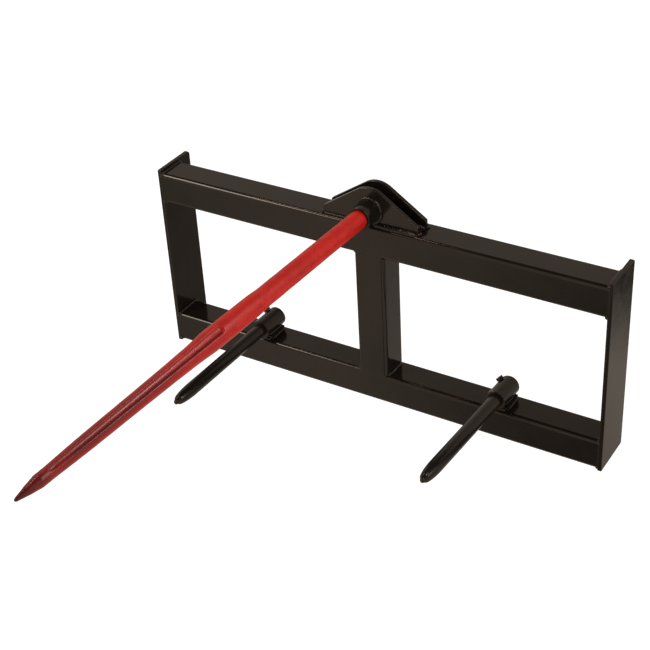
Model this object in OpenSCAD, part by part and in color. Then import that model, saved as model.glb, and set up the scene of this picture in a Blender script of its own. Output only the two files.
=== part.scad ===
// Hay bale spear frame for a skid steer loader.
// A welded black frame of square tube carries one long red spear on a mast and
// two short black stabilizer tines, and hooks onto the loader's quick coupler.
// Units are millimetres, +Z is up, and the spears point along -Y.
// The origin is the centre of the frame on the face that the coupler bears on.

/* [Frame] */
// Overall width across the end plates
frame_w = 1143; // [1000:1:1300]
// Height of the end plates
frame_h = 482; // [440:1:560]
// Outer side of the square tubes
tube = 76.2; // [60:0.1:90]
// Wall of the square tubes
tube_wall = 4.8; // [3:0.1:8]
// Outer corner radius of the square tubes
tube_corner = 8.5; // [8:0.5:14]
// How far the top tube stops short of the end plates' top edges
top_inset = 8.4; // [0:0.2:30]
// How far the bottom tube stops short of the end plates' bottom edges
bottom_inset = 3.4; // [0:0.2:30]

/* [End plates] */
// Thickness of the end plates
end_t = 10; // [6:0.5:16]
// Depth of the end plates, front to back
end_d = 116; // [100:1:150]
// Chamfer on the end plates' rear corners
end_chamfer = 5; // [2:1:20]

/* [Coupler flanges] */
// Thickness of the hook flange and the latch flange
flange_t = 10; // [6:0.5:14]
// Drop of the hook flange's upper edge below the top of the top tube
hook_drop = 4; // [0:1:10]
// Rise of the latch flange above the bottom of the bottom tube
latch_rise = 8; // [4:1:30]
// Distance between the two latch slots
slot_spacing = 960; // [800:5:1000]
// End-to-end length of a latch slot
slot_len = 64; // [40:1:90]
// Width of a latch slot
slot_w = 26; // [18:1:30]

/* [Mast] */
// Thickness of each mast plate
mast_t = 10; // [6:0.5:16]
// Width of the mast plates at their foot
mast_w = 238; // [200:1:300]
// Slope of the mast plates' shoulders, in degrees
mast_slope = 34; // [30:1:40]
// Radius of the rounded top, about the spear's axis
mast_r = 55; // [45:1:60]
// Set-back of the front mast plate from the front of the top tube
front_setback = 12; // [12:1:20]
// Set-back of the rear mast plate from the back of the top tube
rear_setback = 18; // [12:1:22]

/* [Main spear] */
// Height of the spear's axis above the origin, at the middle of the top tube
spear_z = 265; // [262:1:275]
// Upward tilt of the spear, in degrees
spear_tilt = 2.2; // [0:0.1:5]
// Distance from the middle of the top tube to the tip
spear_reach = 1180; // [1100:1:1300]
// Radius of the spear's round body
spear_r = 21.25; // [18:0.25:24]
// Radius of the swell where the flutes begin
swell_r = 23; // [21:0.25:26]
// Length of the pointed nose
nose_len = 58; // [40:1:90]
// Angle of the upper flute about the axis, in degrees
flute_angle = 52; // [0:1:90]
// Outer radius of the socket sleeve
sleeve_r = 28; // [26:0.5:32]
// Reach of the socket sleeve in front of the middle of the top tube
sleeve_front = 75; // [60:1:90]
// Reach of the socket sleeve behind the middle of the top tube
sleeve_rear = 25; // [22:1:34]
// Radius of the threaded shank behind the taper
shank_r = 14; // [10:0.5:15]
// Nut size across flats
nut_af = 41; // [36:1:46]
// Thickness of the nut
nut_t = 22; // [16:1:24]
// Thickness of the washer
washer_t = 4; // [2:0.5:6]

/* [Stabilizers] */
// Distance of the left stabilizer tine from the centreline
left_x = 311; // [200:1:450]
// Distance of the right stabilizer tine from the centreline
right_x = 316; // [200:1:450]
// Upward tilt of the left tine, in degrees
left_tilt = 1.8; // [0:0.1:5]
// Upward tilt of the right tine, in degrees
right_tilt = 3.8; // [0:0.1:5]
// Height of the tines' axes above the bottom tube, at the middle of the tube
tine_rise = 27; // [26.5:0.5:34]
// Radius of a tine
tine_r = 15.9; // [12:0.1:18]
// Distance from the middle of the bottom tube to a tine's tip
tine_reach = 391; // [300:1:450]
// Length of a tine's rounded point
tine_nose = 66; // [50:1:80]
// Outer radius of a tine's sleeve
tine_sleeve_r = 23.8; // [20:0.2:25]
// Reach of a tine's sleeve in front of the middle of the bottom tube
tine_sleeve_front = 43; // [35:1:60]
// Reach of a tine's sleeve behind the middle of the bottom tube
tine_sleeve_rear = 34; // [28:1:40]
// Width of the saddle under a sleeve
saddle_w = 46; // [40:1:56]
// Length of the saddle along the tine
saddle_len = 58; // [40:1:64]
// Height of the saddle
saddle_h = 8; // [7:0.5:16]
// Size of the set bolt across flats
bolt_af = 16; // [13:1:17]
// Radius of the set bolt's thread
bolt_r = 5; // [4:0.5:6]

/* [Hidden] */
$fn = 72;

black = [0.11, 0.10, 0.09];
red = [0.66, 0.11, 0.10];
steel = [0.45, 0.45, 0.46];

inner_w = frame_w - 2 * end_t;          // clear width between the end plates
mid_y = -tube / 2;                      // middle of the tubes, front to back
top_z = frame_h / 2 - top_inset;        // top of the top tube
bottom_z = bottom_inset - frame_h / 2;  // bottom of the bottom tube
back_d = end_d - tube;                  // depth of the space behind the tubes
fit_gap = 0.3;                          // clearance between parts that come apart
weld_gap = 0.2;                         // clearance round a part welded into a hole
eps = 1;                                // how far a cutter runs past a face

taper_r = 15;                           // rear radius of the spear's taper
taper_front = sleeve_front - 2;         // where the taper starts, just inside the sleeve
tip_r = 3;                              // radius of the spear's blunt tip
nose_r = 14;                            // radius where the spear's nose starts
thread_end = sleeve_rear + washer_t + nut_t + 8;
flute_start = spear_reach - 578;        // where the flutes start, from the middle of the tube
flute_end = spear_reach - 92;           // where they run out
flute_r = [9.5, 6.2];                   // flute cutter radius, rear and front
flute_off = [22.5, 14.2];               // flute cutter distance from the axis, rear and front

tine_bore = tine_r + fit_gap;           // radius of a tine's sleeve inside
tine_tip_r = 6;                         // radius of a tine's blunt tip
bolt_back = 19;                         // set bolt's distance behind the middle of the tube
bolt_head = 6.4;                        // height of the set bolt's head
bolt_turn = 45;                         // lean of the set bolt towards -X, in degrees

// Square of side s with round corners of radius r, centred
module round_square(s, r) {
    square([s, s - 2 * r], center = true);
    square([s - 2 * r, s], center = true);
    for (x = [-1, 1], y = [-1, 1])
        translate([x * (s / 2 - r), y * (s / 2 - r)])
            circle(r);
}

// Length of hollow square tube along Z, centred
module square_tube(len) {
    linear_extrude(len, center = true)
        difference() {
            round_square(tube, tube_corner);
            round_square(tube - 2 * tube_wall, tube_corner - tube_wall);
        }
}

// Tube across the frame, centred at height z
module cross_tube(z) {
    translate([0, mid_y, z])
        rotate([0, 90, 0])
            square_tube(inner_w);
}

module top_tube() {
    color(black) cross_tube(top_z - tube / 2);
}

module bottom_tube() {
    color(black) cross_tube(bottom_z + tube / 2);
}

module center_upright() {
    color(black)
        translate([0, mid_y, (top_z + bottom_z) / 2])
            square_tube(top_z - bottom_z - 2 * tube);
}

// End plate with its two rear corners cut off; x is its inner face, side is -1 or 1
module end_plate(side) {
    h = frame_h / 2;
    c = end_chamfer;
    x = side > 0 ? inner_w / 2 : -frame_w / 2;
    translate([x, 0, 0])
        rotate([90, 0, 90])
            linear_extrude(end_t)
                polygon([
                    [-tube, -h], [back_d - c, -h], [back_d, c - h],
                    [back_d, h - c], [back_d - c, h], [-tube, h]
                ]);
}

module left_end_plate() {
    color(black) end_plate(-1);
}

module right_end_plate() {
    color(black) end_plate(1);
}

// Sloping flange that hooks over the coupler's top edge
module hook_flange() {
    z = top_z - hook_drop;
    t = flange_t * sqrt(2);
    color(black)
        translate([-inner_w / 2, 0, 0])
            rotate([90, 0, 90])
                linear_extrude(inner_w)
                    polygon([[0, z], [0, z - t], [back_d, z - t - back_d], [back_d, z - back_d]]);
}

// Level flange along the bottom, with a slot at each end for the coupler's lock pins
module latch_flange() {
    reach = slot_len / 2 - slot_w / 2;
    color(black)
        difference() {
            translate([-inner_w / 2, 0, bottom_z + latch_rise])
                cube([inner_w, back_d, flange_t]);
            for (side = [-1, 1])
                translate([side * slot_spacing / 2, back_d / 2, bottom_z + latch_rise - eps]) {
                    for (end = [-1, 1])
                        translate([end * reach, 0, 0])
                            cylinder(r = slot_w / 2, h = flange_t + 2 * eps);
                    translate([-reach, -slot_w / 2, 0])
                        cube([2 * reach, slot_w, flange_t + 2 * eps]);
                }
        }
}

// Places its children on the main spear's axis: child -Y is forward
module on_spear() {
    translate([0, mid_y, spear_z])
        rotate([-spear_tilt, 0, 0])
            children();
}

// Round bar, hole or cone along the axis from distance a to distance b in front of the start
module along(a, b, ra, rb) {
    translate([0, -a, 0])
        rotate([90, 0, 0])
            cylinder(r1 = ra, r2 = rb, h = b - a);
}

// Outline of a mast plate: straight foot, sloping shoulders, and a top round about the spear
module mast_outline() {
    half = mast_w / 2;
    shoulder = spear_z + mast_r / cos(mast_slope) - half * tan(mast_slope);
    tx = mast_r * sin(mast_slope);
    tz = spear_z + mast_r * cos(mast_slope);
    polygon([
        [-half, top_z], [half, top_z], [half, shoulder],
        [tx, tz], [-tx, tz], [-half, shoulder]
    ]);
    intersection() {
        translate([0, spear_z])
            circle(mast_r);
        translate([-half, top_z])
            square([2 * half, frame_h]);
    }
}

// Mast plate with its front face at depth y, and a hole for the socket sleeve
module mast_plate(y) {
    color(black)
        difference() {
            translate([0, y + mast_t, 0])
                rotate([90, 0, 0])
                    linear_extrude(mast_t)
                        mast_outline();
            on_spear()
                along(-tube, tube, sleeve_r + weld_gap, sleeve_r + weld_gap);
        }
}

module mast_front_plate() {
    mast_plate(front_setback - tube);
}

module mast_back_plate() {
    mast_plate(-rear_setback - mast_t);
}

// Tapered socket that the mast plates hold
module spear_sleeve() {
    color(black)
        on_spear()
            difference() {
                along(-sleeve_rear, sleeve_front, sleeve_r, sleeve_r);
                along(-sleeve_rear, taper_front, taper_r + fit_gap, spear_r + fit_gap);
                along(-sleeve_rear - eps, -sleeve_rear, taper_r + fit_gap, taper_r + fit_gap);
                along(taper_front, sleeve_front + eps, spear_r + fit_gap, spear_r + fit_gap);
            }
}

// Spear as a turned bar: thread, taper, round body, swell, slim front and blunt nose
module spear_bar() {
    nose = spear_reach - nose_len;
    rear = [
        [0, -thread_end], [shank_r - 1.5, -thread_end], [shank_r, 1.5 - thread_end],
        [shank_r, -sleeve_rear], [taper_r, -sleeve_rear], [spear_r, taper_front]
    ];
    body = [
        [spear_r, spear_reach - 715], [swell_r, spear_reach - 690],
        [swell_r, spear_reach - 540], [swell_r - 2.8, spear_reach - 488],
        [swell_r - 4.3, spear_reach - 424], [swell_r - 6.2, spear_reach - 277],
        [nose_r + 0.8, spear_reach - 141], [nose_r - 0.8, nose - 18], [nose_r - 0.8, nose]
    ];
    point = [[0.66 * nose_r, nose + 0.45 * nose_len]];
    tip = [for (a = [0:15:90]) [tip_r * cos(a), spear_reach - tip_r + tip_r * sin(a)]];
    rotate([90, 0, 0])
        rotate_extrude()
            polygon(concat(rear, body, point, tip));
}

// Round-bottomed flute with a bowl at its rear end
module flute() {
    len = flute_end - flute_start;
    lean = atan((flute_off[0] - flute_off[1]) / len);
    translate([flute_off[0], -flute_start, 0])
        rotate([0, 0, -lean]) {
            along(0, len, flute_r[0], flute_r[1]);
            sphere(flute_r[0]);
        }
}

module main_spear() {
    color(red)
        on_spear()
            difference() {
                spear_bar();
                for (k = [0, 180])
                    rotate([0, -flute_angle - k, 0])
                        flute();
            }
}

module spear_washer() {
    color(steel)
        on_spear()
            difference() {
                along(-sleeve_rear - washer_t, -sleeve_rear, sleeve_r - 3, sleeve_r - 3);
                along(-sleeve_rear - washer_t - eps, eps - sleeve_rear, shank_r + 1, shank_r + 1);
            }
}

// Hexagonal prism along -Y from distance a to distance b, measured across flats
module hex(a, b, af) {
    translate([0, -a, 0])
        rotate([90, 0, 0])
            cylinder(r = af / 2 / cos(30), h = b - a, $fn = 6);
}

module spear_nut() {
    back = -sleeve_rear - washer_t - nut_t;
    front = -sleeve_rear - washer_t;
    color(steel)
        on_spear()
            difference() {
                intersection() {
                    hex(back, front, nut_af);
                    along(back, front, nut_af / 2 + 0.8, nut_af / 2 + nut_t);
                }
                along(back - eps, front + eps, shank_r + fit_gap, shank_r + fit_gap);
            }
}

// Places its children on a stabilizer tine's axis: side is -1 or 1, child -Y is forward
module on_tine(side) {
    translate([side > 0 ? right_x : -left_x, mid_y, bottom_z + tube + tine_rise])
        rotate([side > 0 ? -right_tilt : -left_tilt, 0, 0])
            children();
}

// Points the set bolt up and towards -X: child -Y is the way it backs out
module on_bolt(side) {
    on_tine(side)
        translate([0, bolt_back, 0])
            rotate([0, -bolt_turn, 0])
                rotate([-90, 0, 0])
                    children();
}

module stabilizer_sleeve(side) {
    color(black)
        difference() {
            on_tine(side)
                difference() {
                    along(-tine_sleeve_rear, tine_sleeve_front, tine_sleeve_r, tine_sleeve_r);
                    along(-tine_sleeve_rear - eps, tine_sleeve_front + eps, tine_bore, tine_bore);
                }
            on_bolt(side)
                along(0, tine_sleeve_r + eps, bolt_r + fit_gap, bolt_r + fit_gap);
        }
}

// Block that cradles a sleeve on the bottom tube
module saddle(side) {
    color(black)
        difference() {
            translate([(side > 0 ? right_x : -left_x) - saddle_w / 2, 0, bottom_z + tube])
                translate([0, mid_y - saddle_len / 2, 0])
                    cube([saddle_w, saddle_len, saddle_h]);
            on_tine(side)
                along(-tube, tube, tine_sleeve_r + weld_gap, tine_sleeve_r + weld_gap);
        }
}

// Round bar with an ogive point; the ogive is an arc that starts level with the bar
module stabilizer_tine(side) {
    rear = 1 - tine_sleeve_rear;
    start = tine_reach - tine_nose;
    ogive = [for (t = [0:0.125:1])
        [tine_tip_r + (tine_r - tine_tip_r) * sqrt(1 - t * t), start + t * (tine_nose - tine_tip_r)]];
    tip = [for (a = [15:15:90])
        [tine_tip_r * cos(a), tine_reach - tine_tip_r + tine_tip_r * sin(a)]];
    color(black)
        on_tine(side)
            rotate([90, 0, 0])
                rotate_extrude()
                    polygon(concat([[0, rear], [tine_r, rear]], ogive, tip));
}

// Hexagon-headed bolt that clamps a tine in its sleeve
module set_bolt(side) {
    under = tine_sleeve_r + fit_gap;
    color(black)
        on_bolt(side) {
            along(tine_r + fit_gap, under, bolt_r, bolt_r);
            intersection() {
                hex(under, under + bolt_head, bolt_af);
                along(under, under + bolt_head, bolt_af / 2 + bolt_head, bolt_af / 2 + 0.6);
            }
        }
}

module left_saddle() {
    saddle(-1);
}

module right_saddle() {
    saddle(1);
}

module left_stabilizer_sleeve() {
    stabilizer_sleeve(-1);
}

module right_stabilizer_sleeve() {
    stabilizer_sleeve(1);
}

module left_stabilizer_tine() {
    stabilizer_tine(-1);
}

module right_stabilizer_tine() {
    stabilizer_tine(1);
}

module left_set_bolt() {
    set_bolt(-1);
}

module right_set_bolt() {
    set_bolt(1);
}

top_tube();
bottom_tube();
center_upright();
left_end_plate();
right_end_plate();
hook_flange();
latch_flange();
mast_front_plate();
mast_back_plate();
spear_sleeve();
main_spear();
spear_washer();
spear_nut();
left_saddle();
right_saddle();
left_stabilizer_sleeve();
right_stabilizer_sleeve();
left_stabilizer_tine();
right_stabilizer_tine();
left_set_bolt();
right_set_bolt();
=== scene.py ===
import math
import random

import bpy
import numpy as np
from mathutils import Matrix, Vector


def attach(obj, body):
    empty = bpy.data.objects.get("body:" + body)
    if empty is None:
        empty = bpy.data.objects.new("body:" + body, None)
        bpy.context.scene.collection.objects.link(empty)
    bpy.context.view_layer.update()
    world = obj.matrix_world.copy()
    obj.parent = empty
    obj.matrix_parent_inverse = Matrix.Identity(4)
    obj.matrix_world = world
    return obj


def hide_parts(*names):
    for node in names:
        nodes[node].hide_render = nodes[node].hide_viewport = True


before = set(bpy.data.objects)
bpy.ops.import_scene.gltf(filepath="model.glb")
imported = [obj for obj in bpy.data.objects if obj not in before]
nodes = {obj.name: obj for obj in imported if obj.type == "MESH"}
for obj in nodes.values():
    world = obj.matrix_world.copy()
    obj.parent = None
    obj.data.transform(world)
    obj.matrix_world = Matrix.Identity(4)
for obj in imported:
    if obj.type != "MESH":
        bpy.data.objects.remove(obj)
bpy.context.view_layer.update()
MM = 0.001

# ---------------------------------------------------------------- camera

SENSOR_MM = 36.0
LENS_MM = 81.36
CAMERA_AT = (1.44064, -2.47261, 1.83445)

cam_data = bpy.data.cameras.new("camera")
cam_data.sensor_width = SENSOR_MM
cam_data.lens = LENS_MM
cam_data.clip_end = 200.0
camera = bpy.data.objects.new("camera", cam_data)
bpy.context.scene.collection.objects.link(camera)
cam_right = Vector((0.85399, 0.51778, -0.05108))
cam_up = Vector((-0.25059, 0.49536, 0.83176))
cam_back = Vector((0.45597, -0.69751, 0.55278))
camera.matrix_world = Matrix.Translation(CAMERA_AT) @ Matrix(
    (cam_right, cam_up, cam_back)
).transposed().to_4x4()
bpy.context.scene.camera = camera

# ---------------------------------------------------------------- the CAD's own sizes, in mm

TUBE = 76.2
TOP = 232.6
BOTTOM = -237.6
WINDOW_TOP = TOP - TUBE
WINDOW_BOTTOM = BOTTOM + TUBE
FRONT_Y = -TUBE
MID_Y = -TUBE / 2
INNER = 561.5
CORNER = 8.5
SPEAR_Z = 265.0
SPEAR_TILT = 2.2
TINE_X = {-1: -311.0, 1: 316.0}
TINE_TILT = {-1: 1.8, 1: 3.8}
TINE_Z = WINDOW_BOTTOM + 27.0
FLUTE_ANGLE = 57.0
FLUTE_START = 602.0
FLUTE_END = 1088.0
SPEAR_REAR = -59.0
SPEAR_TIP = 1180.0
SLEEVE_FRONT = 27.5
SLEEVE_BACK = -21.6
MAST_PLATE_FACES = (-64.2, -28.2)
MAST_HALF = 117
SEAM_OVERLAP = 1


def on_axis(z, tilt, x=0.0):
    """Maps (right, up, forward) about a spear's or tine's axis to the row frame, in mm."""
    t = math.radians(tilt)
    start = np.array([x, MID_Y, z])
    right = np.array([1.0, 0.0, 0.0])
    up = np.array([0.0, math.sin(t), math.cos(t)])
    ahead = np.array([0.0, -math.cos(t), math.sin(t)])

    def place(p):
        p = np.asarray(p, float)
        return start + p[..., :1] * right + p[..., 1:2] * up + p[..., 2:3] * ahead

    return place


# ---------------------------------------------------------------- materials


class Nodes:
    """Short names for building one material's nodes."""

    def __init__(self, name):
        self.mat = bpy.data.materials.new(name)
        self.mat.use_nodes = True
        self.tree = self.mat.node_tree
        self.bsdf = self.tree.nodes["Principled BSDF"]
        self.coords = self.new("ShaderNodeTexCoord").outputs["Object"]

    def new(self, kind, **values):
        node = self.tree.nodes.new(kind)
        for key, value in values.items():
            setattr(node, key, value)
        return node

    def link(self, a, b):
        self.tree.links.new(a, b)

    def noise(self, scale, detail=3.0, rough=0.55, stretch=(1, 1, 1)):
        mapping = self.new("ShaderNodeMapping")
        mapping.inputs["Scale"].default_value = stretch
        self.link(self.coords, mapping.inputs["Vector"])
        node = self.new("ShaderNodeTexNoise")
        node.inputs["Scale"].default_value = scale
        node.inputs["Detail"].default_value = detail
        node.inputs["Roughness"].default_value = rough
        self.link(mapping.outputs["Vector"], node.inputs["Vector"])
        return node.outputs["Fac"]

    def ramp(self, value, low, high, to_low=0.0, to_high=1.0):
        node = self.new("ShaderNodeMapRange", clamp=True)
        for key, number in (
            ("From Min", low),
            ("From Max", high),
            ("To Min", to_low),
            ("To Max", to_high),
        ):
            node.inputs[key].default_value = number
        self.link(value, node.inputs["Value"])
        return node.outputs["Result"]

    def mix(self, factor, a, b):
        node = self.new("ShaderNodeMix", data_type="RGBA")
        self.link(factor, node.inputs["Factor"])
        for socket, value in ((node.inputs[6], a), (node.inputs[7], b)):
            if isinstance(value, tuple):
                socket.default_value = (*value, 1.0)
            else:
                self.link(value, socket)
        return node.outputs[2]

    def math(self, op, a, b):
        node = self.new("ShaderNodeMath", operation=op)
        for socket, value in ((node.inputs[0], a), (node.inputs[1], b)):
            if isinstance(value, (int, float)):
                socket.default_value = value
            else:
                self.link(value, socket)
        return node.outputs[0]

    def bump(self, height, strength, distance, under=None):
        node = self.new("ShaderNodeBump")
        node.inputs["Strength"].default_value = strength
        node.inputs["Distance"].default_value = distance
        self.link(height, node.inputs["Height"])
        if under is not None:
            self.link(under, node.inputs["Normal"])
        return node.outputs["Normal"]

    def out(self, **sockets):
        for name, value in sockets.items():
            socket = self.bsdf.inputs[name.replace("_", " ")]
            if isinstance(value, (int, float)):
                socket.default_value = value
            elif isinstance(value, tuple):
                socket.default_value = (*value, 1.0)
            else:
                self.link(value, socket)


DUST = (0.055, 0.046, 0.037)
RED_MOTTLE = (0.26, 0.004, 0.003)
RED_PIT = (0.10, 0.006, 0.006)
# painted shade: the dark colour put on each flute's lower wall, where shade falls in the groove
FLUTE_PAINTED_SHADE = (0.075, 0.004, 0.003)
TIP_GRIME = (0.045, 0.012, 0.007)
# where the painted shade starts and ends across a flute, in m from the spear's axis
FLUTE_SHADE_LOW = (-0.0092, -0.0078)
FLUTE_SHADE_HIGH = (-0.0036, -0.0018)
# and along the spear
FLUTE_SHADE_REAR = (-0.640, -0.655)
FLUTE_SHADE_FRONT = (-1.10, -1.07)


def black_paint(name, dark, pale, rough, grain=1.0):
    """Gloss black with faint clouds, dust specks and orange peel."""
    n = Nodes(name)
    cloud = n.noise(7.0, 4.0)
    dust = n.noise(60.0, 6.0, 0.7)
    colour = n.mix(n.ramp(cloud, 0.35, 0.7), dark, pale)
    specks = n.ramp(dust, 0.68, 0.78, 0.0, 0.5)
    colour = n.mix(specks, colour, DUST)
    orange_peel = n.noise(520.0, 2.0)
    wave = n.noise(38.0, 3.0)
    normal = n.bump(wave, 0.035 * grain, 0.004)
    normal = n.bump(orange_peel, 0.03 * grain, 0.0005, normal)
    n.out(
        Base_Color=colour,
        Roughness=n.ramp(
            n.noise(22.0, 5.0, 0.65), 0.3, 0.75, rough - 0.03, rough + 0.06
        ),
        Normal=normal,
        Specular_IOR_Level=0.42,
        Specular_Tint=(1.0, 0.88, 0.76),
    )
    return n.mat


def red_paint(name):
    """Red paint, dark towards the tip, with painted shade along each flute's lower side."""
    n = Nodes(name)
    split = n.new("ShaderNodeSeparateXYZ")
    n.link(n.coords, split.inputs[0])
    ahead = split.outputs["Y"]
    cloud = n.noise(16.0, 5.0, 0.6, (1, 0.35, 1))
    patchy = n.ramp(cloud, 0.32, 0.68)
    bright = n.mix(patchy, (0.42, 0.005, 0.002), (0.58, 0.012, 0.005))
    deep = n.mix(patchy, (0.14, 0.006, 0.007), (0.25, 0.011, 0.010))
    front = n.ramp(ahead, -0.60, -0.95, 0.0, 1.0)
    front = n.math("ADD", front, n.ramp(n.noise(9.0, 3.0), 0.3, 0.7, -0.15, 0.15))
    colour = n.mix(n.math("MULTIPLY", front, 0.85), bright, deep)
    mottle = n.ramp(n.noise(75.0, 5.0, 0.7, (1, 0.6, 1)), 0.42, 0.66, 0.0, 0.45)
    colour = n.mix(mottle, colour, RED_MOTTLE)
    pits = n.noise(170.0, 6.0, 0.7, (1, 0.5, 1))
    colour = n.mix(n.ramp(pits, 0.62, 0.75, 0.0, 0.55), colour, RED_PIT)
    # height across the flutes, from the lower side to the upper side
    tilt = math.radians(SPEAR_TILT)
    turn = math.radians(FLUTE_ANGLE)
    offset = n.new("ShaderNodeVectorMath", operation="SUBTRACT")
    n.link(n.coords, offset.inputs[0])
    offset.inputs[1].default_value = (0.0, MID_Y * MM, SPEAR_Z * MM)
    across = n.new("ShaderNodeVectorMath", operation="DOT_PRODUCT")
    n.link(offset.outputs["Vector"], across.inputs[0])
    across.inputs[1].default_value = (
        -math.sin(turn),
        math.cos(turn) * math.sin(tilt),
        math.cos(turn) * math.cos(tilt),
    )
    side = across.outputs["Value"]
    # painted shade: darkens each flute's lower wall in colour, standing in for the groove's
    # shadow
    lower = n.math("MULTIPLY", n.ramp(side, *FLUTE_SHADE_LOW), n.ramp(side, *FLUTE_SHADE_HIGH, 1.0, 0.0))
    reach = n.math("MULTIPLY", n.ramp(ahead, *FLUTE_SHADE_REAR), n.ramp(ahead, *FLUTE_SHADE_FRONT))
    flute_shade = n.math("MULTIPLY", n.math("MULTIPLY", lower, reach), 0.85)
    colour = n.mix(flute_shade, colour, FLUTE_PAINTED_SHADE)
    tip = n.math("ADD", ahead, n.ramp(n.noise(30.0, 4.0), 0.3, 0.7, -0.02, 0.02))
    colour = n.mix(n.ramp(tip, -1.12, -1.215, 0.0, 0.9), colour, TIP_GRIME)
    rough_zone = n.ramp(ahead, -0.84, -0.72, 0.0, 0.7)
    scale = n.noise(300.0, 3.0, 0.6)
    wave = n.math("MULTIPLY", n.noise(45.0, 4.0, 0.6, (1, 0.4, 1)), rough_zone)
    normal = n.bump(wave, 0.20, 0.003)
    normal = n.bump(n.math("MULTIPLY", pits, rough_zone), 0.34, 0.0014, normal)
    normal = n.bump(n.math("MULTIPLY", scale, rough_zone), 0.10, 0.0005, normal)
    rough = n.ramp(n.noise(60.0, 5.0, 0.7), 0.3, 0.7, -0.05, 0.10)
    rough = n.math("ADD", rough, n.ramp(ahead, -0.9, -0.5, 0.28, 0.38))
    n.out(
        Base_Color=colour,
        Roughness=rough,
        Normal=normal,
        Specular_IOR_Level=0.40,
    )
    return n.mat


def steel(name, base, rough):
    """Bare or plated steel with a slight mottle."""
    n = Nodes(name)
    mottle = n.noise(90.0, 5.0, 0.7)
    colour = n.mix(n.ramp(mottle, 0.3, 0.7), base, tuple(0.72 * c for c in base))
    n.out(
        Base_Color=colour,
        Metallic=1.0,
        Roughness=n.ramp(n.noise(240.0, 4.0), 0.3, 0.7, rough - 0.06, rough + 0.12),
        Normal=n.bump(n.noise(500.0, 3.0), 0.15, 0.0004),
    )
    return n.mat


FRAME_PAINT = black_paint(
    "frame_paint", (0.0060, 0.0050, 0.0040), (0.0100, 0.0080, 0.0062), 0.11
)
WELD_PAINT = black_paint(
    "weld_paint", (0.0060, 0.0050, 0.0042), (0.0100, 0.0080, 0.0065), 0.12, 1.6
)
TINE_PAINT = black_paint(
    "tine_paint", (0.0060, 0.0056, 0.0050), (0.0100, 0.0094, 0.0084), 0.20, 1.8
)
SPEAR_PAINT = red_paint("spear_paint")
ZINC = steel("zinc", (0.55, 0.54, 0.50), 0.34)

for node_name, obj in nodes.items():
    finish = FRAME_PAINT
    if "tine" in node_name or "bolt" in node_name:
        finish = TINE_PAINT
    elif node_name in ("spear_nut", "spear_washer"):
        finish = ZINC
    elif node_name == "main_spear":
        finish = SPEAR_PAINT
    obj.data.materials.clear()
    obj.data.materials.append(finish)


def soften(obj, width):
    """Rounds a CAD piece's sharp edges a little, as paint and handling do."""
    weld = obj.modifiers.new("weld", "WELD")
    weld.merge_threshold = 0.00001
    bevel = obj.modifiers.new("bevel", "BEVEL")
    bevel.width = width
    bevel.segments = 2
    bevel.limit_method = "ANGLE"
    bevel.angle_limit = math.radians(35)
    bevel.use_clamp_overlap = True
    bevel.harden_normals = False
    normals = obj.modifiers.new("normals", "WEIGHTED_NORMAL")
    normals.weight = 80
    normals.keep_sharp = False
    for polygon in obj.data.polygons:
        polygon.use_smooth = True


EDGE = 0.0011
SMALL_EDGE = 0.0006

for node_name, obj in nodes.items():
    if node_name == "main_spear":
        continue
    soften(obj, SMALL_EDGE if "bolt" in node_name or "nut" in node_name else EDGE)

# ---------------------------------------------------------------- pieces made here


def add_piece(name, verts_mm, faces, material, body):
    """A visible piece made here, riding on a body of the frame."""
    mesh = bpy.data.meshes.new(name)
    mesh.from_pydata([tuple(v) for v in np.asarray(verts_mm) * MM], [], faces)
    mesh.validate()
    mesh.materials.append(material)
    for polygon in mesh.polygons:
        polygon.use_smooth = True
    obj = bpy.data.objects.new(name, mesh)
    bpy.context.scene.collection.objects.link(obj)
    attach(obj, body)
    return obj


def rings_to_mesh(rings):
    """Joins equal rings of points into a closed skin with a point at each end."""
    rings = np.asarray(rings)
    count, around = rings.shape[:2]
    verts = list(rings.reshape(-1, 3))
    faces = []
    for i in range(count - 1):
        for j in range(around):
            k = (j + 1) % around
            near, far = i * around, (i + 1) * around
            faces.append((near + j, near + k, far + k, far + j))
    for ring, flip in ((0, True), (count - 1, False)):
        centre = len(verts)
        verts.append(rings[ring].mean(0))
        for j in range(around):
            a, b = ring * around + j, ring * around + (j + 1) % around
            faces.append((b, a, centre) if flip else (a, b, centre))
    return verts, faces


# The spear's radius along its axis: (distance ahead of the top tube's middle, radius)
PROFILE = [
    (-59.0, 12.5), (-57.5, 14.0), (-25.0, 14.0), (-24.9, 15.0), (73.0, 21.25),
    (448.0, 21.25), (475.0, 22.6), (503.0, 23.2), (603.0, 23.4), (638.0, 23.0),
    (660.0, 21.7), (692.0, 20.1), (755.0, 18.7), (818.0, 17.7), (902.0, 16.8),
    (974.0, 15.9), (1038.0, 14.7), (1079.0, 13.5), (1103.0, 13.15), (1122.0, 13.1),
    (1127.0, 12.1), (1137.0, 10.6), (1147.0, 9.2), (1158.0, 7.0), (1169.0, 4.9),
    (1175.0, 3.9), (1178.3, 2.6), (1179.6, 1.2), (1180.0, 0.2),
]
THREAD_PITCH = 3.0
THREAD_FRONT = -25.2
THREAD_DEPTH = 1.5
# half width, depth and floor rise of a flute, as parts of the radius
FLUTE_HALF = 0.40
FLUTE_DEPTH = 0.34
FLUTE_RISE = 0.18
# (from, to, step) of the rings ahead of the thread, close together at the flutes' ends
STATIONS = (
    (-24.5, 440.0, 6.0),
    (440.0, 590.0, 4.0),
    (590.0, 640.0, 1.0),
    (640.0, 1062.0, 4.0),
    (1062.0, 1100.0, 1.5),
    (1100.0, 1180.0, 1.5),
)


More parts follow.
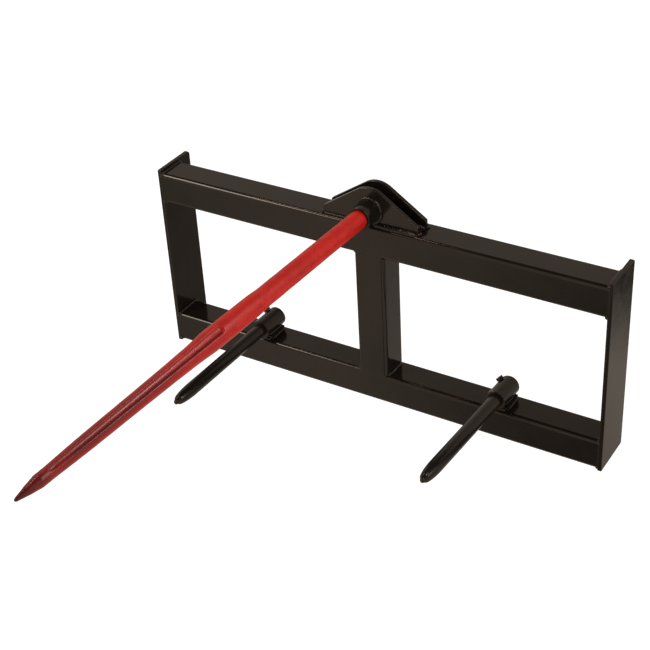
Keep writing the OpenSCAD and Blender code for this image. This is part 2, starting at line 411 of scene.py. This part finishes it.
def spear_mesh():
    """The spear with its two flutes and its thread, as one closed skin."""
    rand = np.random.default_rng(11)
    stations = [SPEAR_REAR + 0.5 * i for i in range(69)]
    for start, stop, step in STATIONS:
        stations += list(np.arange(start, stop, step))
    stations.append(SPEAR_TIP)
    ds = [p[0] for p in PROFILE]
    rs = [p[1] for p in PROFILE]
    groove_n, arc_n = 25, 24
    knots = np.linspace(SPEAR_REAR, SPEAR_TIP, 60)
    wobble = np.interp(stations, knots, rand.normal(0, 0.10, 60))
    rings = []
    for d, dr in zip(stations, wobble):
        r = float(np.interp(d, ds, rs)) + (dr if 80 < d < 1100 else 0.0)
        half = FLUTE_HALF * r
        depth = FLUTE_DEPTH * r
        centre_angles = [math.radians(FLUTE_ANGLE), math.radians(FLUTE_ANGLE + 180)]
        ring = []
        run_in = half * 1.1
        for a0 in centre_angles:
            v = np.linspace(-half, half, groove_n)
            u = np.sqrt(r * r - v * v)
            if FLUTE_START <= d <= FLUTE_END + 14:
                ahead = max(0.0, (FLUTE_START + run_in - d) / run_in)
                behind = max(0.0, (d - FLUTE_END + 6) / 20.0)
                t = np.clip(np.sqrt((v / half) ** 2 + ahead ** 2 + behind ** 2), 0, 1)
                cut = 1.0 - t ** 3.0
                floor = math.sqrt(r * r - half * half) - depth + FLUTE_RISE * r
                u = u - cut * np.maximum(u - floor, 0)
            cos, sin = math.cos(a0), math.sin(a0)
            for ui, vi in zip(u, v):
                ring.append((ui * cos - vi * sin, ui * sin + vi * cos, d))
            a1 = a0 + math.asin(FLUTE_HALF)
            a2 = a0 + math.pi - math.asin(FLUTE_HALF)
            for k in range(1, arc_n):
                a = a1 + (a2 - a1) * k / arc_n
                ring.append((r * math.cos(a), r * math.sin(a), d))
        ring = np.array(ring)
        if d < THREAD_FRONT:
            angle = np.arctan2(ring[:, 1], ring[:, 0])
            turn = (d / THREAD_PITCH + angle / (2 * math.pi)) % 1.0
            crest = 1.0 - np.abs(2 * turn - 1)
            cut_in = THREAD_DEPTH * (1 - np.minimum(1, crest * 1.25))
            ring[:, :2] *= ((r - cut_in) / r)[:, None]
        rings.append(ring)
    place = on_axis(SPEAR_Z, SPEAR_TILT)
    return rings_to_mesh([place(ring) for ring in rings])


verts, faces = spear_mesh()
spear = add_piece("spear_bar", verts, faces, SPEAR_PAINT, "spear")
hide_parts("main_spear")

# Weld beads: a half-round bead with overlapping ripples along a path
bead_random = random.Random(5)
BEAD_STEP = 0.85
BEAD_SIDES = 14


def bead(path, size, pitch, ripples):
    """A weld bead along path, a list of points in mm."""
    pts = np.array(path, float)
    seg = np.linalg.norm(np.diff(pts, axis=0), axis=1)
    total = seg.sum()
    at = np.concatenate([[0], np.cumsum(seg)])
    count = max(8, int(total / BEAD_STEP))
    s = np.linspace(0, total, count)
    centre = np.stack([np.interp(s, at, pts[:, i]) for i in range(3)], 1)
    phase = bead_random.uniform(0, 10)
    wander = np.array(
        [math.sin(phase + 0.21 * x) + 0.6 * math.sin(2.1 * phase + 0.077 * x) for x in s]
    )
    tangent = np.gradient(centre, axis=0)
    tangent /= np.linalg.norm(tangent, axis=1)[:, None]
    rings = []
    for i in range(count):
        t = tangent[i]
        helper = np.array([0, 0, 1.0]) if abs(t[2]) < 0.8 else np.array([0, 1.0, 0])
        a = np.cross(t, helper)
        a /= np.linalg.norm(a)
        b = np.cross(a, t)
        to_end = min(s[i], total - s[i])
        end = min(1.0, math.sqrt(max(0.0, to_end / (1.4 * size) + 0.02)))
        ring = []
        for j in range(BEAD_SIDES):
            ang = 2 * math.pi * j / BEAD_SIDES
            lean = math.cos(ang - math.pi / 4)
            ripple = ((s[i] + 1.3 * lean) / pitch) % 1.0
            swell = 1.0 + 0.07 * wander[i] * 0.5 + ripples * (ripple ** 0.6 - 0.6)
            r = size * end * swell
            ring.append(centre[i] + a * (r * math.cos(ang)) + b * (r * math.sin(ang)))
        rings.append(ring)
    return rings_to_mesh(rings)


bead_groups = {}


def weld(group, path, size=4.0, pitch=3.4, ripples=0.17):
    """Adds one bead to a group, which becomes one piece."""
    verts, faces = bead(path, size, pitch, ripples)
    store = bead_groups.setdefault(group, ([], []))
    base = len(store[0])
    store[0].extend(verts)
    store[1].extend(tuple(i + base for i in f) for f in faces)


def circle_path(place, radius, d, n=72):
    """A full circle about a spear's axis, d ahead of the tube's middle."""
    out = []
    for i in range(n + 1):
        a = math.radians(360.0 * i / n)
        out.append(place(np.array([radius * math.cos(a), radius * math.sin(a), d])))
    return out


def corner_path(x, z, up):
    """Round a tube's front corner, along its top or bottom, and round its back corner."""
    path = []
    for y0, start in ((FRONT_Y + CORNER, 180.0), (-CORNER, 90.0)):
        for k in range(7):
            a = math.radians(start - 15.0 * k)
            path.append((x, y0 + CORNER * math.cos(a), z - up * CORNER * (1.0 - math.sin(a))))
    return path


spear_place = on_axis(SPEAR_Z, SPEAR_TILT)
# mast plates to the top tube, along both faces of each plate and round their ends
z = TOP + SEAM_OVERLAP
for y in MAST_PLATE_FACES:
    weld("mast_welds", [(-MAST_HALF, y - 1.0, z), (8, y - 1.0, z)], 3.4, 3.0)
    weld("mast_welds", [(8, y - 1.5, z), (MAST_HALF + 2, y - 2.5, z)], 6.4, 6.6, 0.34)
    weld("mast_welds", [(-MAST_HALF, y + 11.0, z), (MAST_HALF, y + 11.0, z)], 3.8)
    for side in (-1, 1):
        path = [
            (side * (MAST_HALF + 3.5), y - 1.0, z),
            (side * (MAST_HALF + 4.5), y + 5, TOP + 2),
            (side * (MAST_HALF + 3.5), y + 11, z),
        ]
        weld("mast_welds", path, 5.0, 4.4)
# socket sleeve to the mast plates
weld("sleeve_welds", circle_path(spear_place, 29.5, SLEEVE_FRONT), 4.6, 4.2)
weld("sleeve_welds", circle_path(spear_place, 28.8, SLEEVE_BACK), 3.0)
# tubes to the end plates
for side in (-1, 1):
    x = side * (INNER - 1.0)
    for z, up in ((TOP, 1), (WINDOW_TOP, -1), (WINDOW_BOTTOM, 1), (BOTTOM + 2.2, -1)):
        weld("end_welds", corner_path(x, z, up), 4.8, 4.2)
    for z in (TOP - 12, WINDOW_BOTTOM - 12):
        weld("end_welds", [(x, -1.0, z - 50), (x, -1.0, z)], 3.6)
# upright to the tubes: round its sides and back
for z, up in ((WINDOW_BOTTOM, 1.0), (WINDOW_TOP, -1.0)):
    for side in (-1, 1):
        x = side * 39.0
        weld("upright_welds", [(x, FRONT_Y + 5, z + up), (x, -11, z + up)], 5.4, 4.4)
    weld("upright_welds", [(-27, -3.0, z - 3.0 * up), (27, -3.0, z - 3.0 * up)], 5.0)
# hook flange and latch flange, stitched along the tubes
STITCH_HALF = 45
for k in range(6):
    x = -500 + 200 * k
    for y, z, size in ((-0.5, TOP - 7.5, 3.2), (1.5, BOTTOM + 18.5, 3.4)):
        weld("flange_welds", [(x - STITCH_HALF, y, z), (x + STITCH_HALF, y, z)], size)
# saddles and stabilizer sleeves
for side in (-1, 1):
    cx = TINE_X[side]
    tine_place = on_axis(TINE_Z, TINE_TILT[side], cx)
    z = WINDOW_BOTTOM + SEAM_OVERLAP
    for edge in (-1, 1):
        x = cx + edge * 23.5
        weld("saddle_welds", [(x, MID_Y - 27, z), (x, MID_Y + 27, z)], 4.0, 4.0)
        path = [tine_place(np.array([edge * 15.0, -18.5, d])) for d in (-27.0, 27.0)]
        weld("saddle_welds", path, 4.2, 4.0)
    for end in (-1, 1):
        y = MID_Y + end * 30
        weld("saddle_welds", [(cx - 21, y, z), (cx + 21, y, z)], 3.8, 3.8)

for group, (verts, faces) in bead_groups.items():
    add_piece(group, verts, faces, WELD_PAINT, "frame")

# The front seams between the upright and the tubes are filled and ground flush


def fill(up, z_tube):
    """Ground weld in the front face, between the upright's end and the tube's corner."""
    across = np.linspace(-TUBE / 2 + 5.0, TUBE / 2 - 5.0, 60)
    rand = np.random.default_rng(3 if up > 0 else 4)
    rings = []
    for x in across:
        sink = 0.25 + 0.12 * rand.random()
        tip = z_tube - up * (CORNER + 1.5)
        ring = [
            (x, FRONT_Y + sink, z_tube + up * 3.0),
            (x, FRONT_Y + sink * 0.6, z_tube),
            (x, FRONT_Y + sink * 0.6, z_tube - up * 6.0),
            (x, FRONT_Y + sink * 0.4 + 0.1, tip),
            (x, FRONT_Y + 2.5, tip + up * 1.0),
            (x, FRONT_Y + 6.0, z_tube - up * 4.0),
            (x, FRONT_Y + 12.0, z_tube - up * 0.5),
            (x, FRONT_Y + 4.0, z_tube + up * 3.0),
        ]
        rings.append(ring)
    return rings_to_mesh(rings)


for name, up, z_tube in (("fill_low", 1, WINDOW_BOTTOM), ("fill_high", -1, WINDOW_TOP)):
    verts, faces = fill(up, z_tube)
    add_piece(name, verts, faces, FRAME_PAINT, "frame")

# ---------------------------------------------------------------- floor and light

FLOOR_Z = -0.80
FLOOR_HALF = 30
floor_mesh = bpy.data.meshes.new("floor")
floor_mesh.from_pydata(
    [(x * FLOOR_HALF, y * FLOOR_HALF, FLOOR_Z) for x, y in ((-1, -1), (1, -1), (1, 1), (-1, 1))],
    [],
    [(0, 1, 2, 3)],
)
floor = bpy.data.objects.new("floor", floor_mesh)
bpy.context.scene.collection.objects.link(floor)
floor_nodes = Nodes("floor_white")
floor_nodes.out(
    Base_Color=(0.30, 0.30, 0.30),
    Roughness=0.9,
    Emission_Color=(1.0, 1.0, 1.0),
    Emission_Strength=1.0,
    Specular_IOR_Level=0.0,
)
floor_mesh.materials.append(floor_nodes.mat)
floor.visible_glossy = False

world = bpy.data.worlds.new("studio")
bpy.context.scene.world = world
world.use_nodes = True
sky = world.node_tree
background = sky.nodes["Background"]
background.inputs["Color"].default_value = (1.0, 0.86, 0.73, 1.0)
facing = sky.nodes.new("ShaderNodeTexCoord").outputs["Generated"]


def sky_range(value, low, high, to_low, to_high):
    node = sky.nodes.new("ShaderNodeMapRange")
    for key, number in (
        ("From Min", low),
        ("From Max", high),
        ("To Min", to_low),
        ("To Max", to_high),
    ):
        node.inputs[key].default_value = number
    sky.links.new(value, node.inputs["Value"])
    return node.outputs["Result"]


def sky_math(op, a, b):
    node = sky.nodes.new("ShaderNodeMath")
    node.operation = op
    sky.links.new(a, node.inputs[0])
    sky.links.new(b, node.inputs[1])
    return node.outputs[0]


def dark_patch(centre, inner, outer, depth):
    """A factor that falls to depth near the direction centre."""
    node = sky.nodes.new("ShaderNodeVectorMath")
    node.operation = "DISTANCE"
    node.inputs[1].default_value = Vector(centre).normalized()
    sky.links.new(facing, node.inputs[0])
    return sky_range(node.outputs["Value"], inner, outer, depth, 1.0)


# dark things in the room that the black paint reflects: (direction, inner, outer, depth)
DARK_PATCHES = (
    ((0.290, 0.820, -0.500), 0.035, 0.090, 0.02),
    ((0.260, 0.720, -0.640), 0.020, 0.090, 0.72),
    ((0.56, 0.66, -0.49), 0.08, 0.20, 0.45),
    ((-0.18, -0.74, -0.64), 0.12, 0.30, 0.15),
    ((-0.62, -0.60, -0.50), 0.06, 0.22, 0.45),
)

split = sky.nodes.new("ShaderNodeSeparateXYZ")
sky.links.new(facing, split.inputs[0])
strength = sky_range(split.outputs["Z"], 0.56, 0.78, 0.46, 0.03)
strength = sky_math("MULTIPLY", strength, sky_range(split.outputs["Y"], -0.55, 0.10, 1.55, 1.0))
for centre, inner, outer, depth in DARK_PATCHES:
    strength = sky_math("MULTIPLY", strength, dark_patch(centre, inner, outer, depth))
sky.links.new(strength, background.inputs["Strength"])
# the backdrop itself is plain white
backdrop = sky.nodes.new("ShaderNodeBackground")
backdrop.inputs["Color"].default_value = (1.0, 1.0, 1.0, 1.0)
backdrop.inputs["Strength"].default_value = 1.0
choose = sky.nodes.new("ShaderNodeMixShader")
sky.links.new(sky.nodes.new("ShaderNodeLightPath").outputs["Is Camera Ray"], choose.inputs[0])
sky.links.new(background.outputs[0], choose.inputs[1])
sky.links.new(backdrop.outputs[0], choose.inputs[2])
sky.links.new(choose.outputs[0], sky.nodes["World Output"].inputs["Surface"])


def area_light(name, at, target, size, energy, colour):
    """A softbox at a point, aimed at target, or straight down if target is None."""
    data = bpy.data.lights.new(name, "AREA")
    data.shape = "RECTANGLE"
    data.size, data.size_y = size
    data.energy = energy
    data.color = colour
    obj = bpy.data.objects.new(name, data)
    obj.location = at
    obj.visible_camera = False
    if target is not None:
        obj.rotation_euler = (Vector(target) - Vector(at)).to_track_quat("-Z", "Y").to_euler()
    bpy.context.scene.collection.objects.link(obj)


area_light("overhead", (-1.20, -0.10, 2.4), None, (0.80, 0.14), 8, (1.0, 0.66, 0.50))
area_light("key_left", (-2.4, -2.0, 2.4), (0.0, -0.5, 0.0), (1.4, 1.4), 50, (1.0, 0.95, 0.90))
area_light("fill_right", (2.6, 0.8, 1.6), (0.2, -0.2, 0.0), (1.2, 1.2), 10, (1.0, 0.96, 0.92))
area_light(
    "spear_glint", (0.60, -0.20, 0.98), (0.0, -0.85, 0.28), (0.34, 0.40), 4.5, (1.0, 0.90, 0.88)
)

bpy.context.scene.view_settings.view_transform = "Standard"
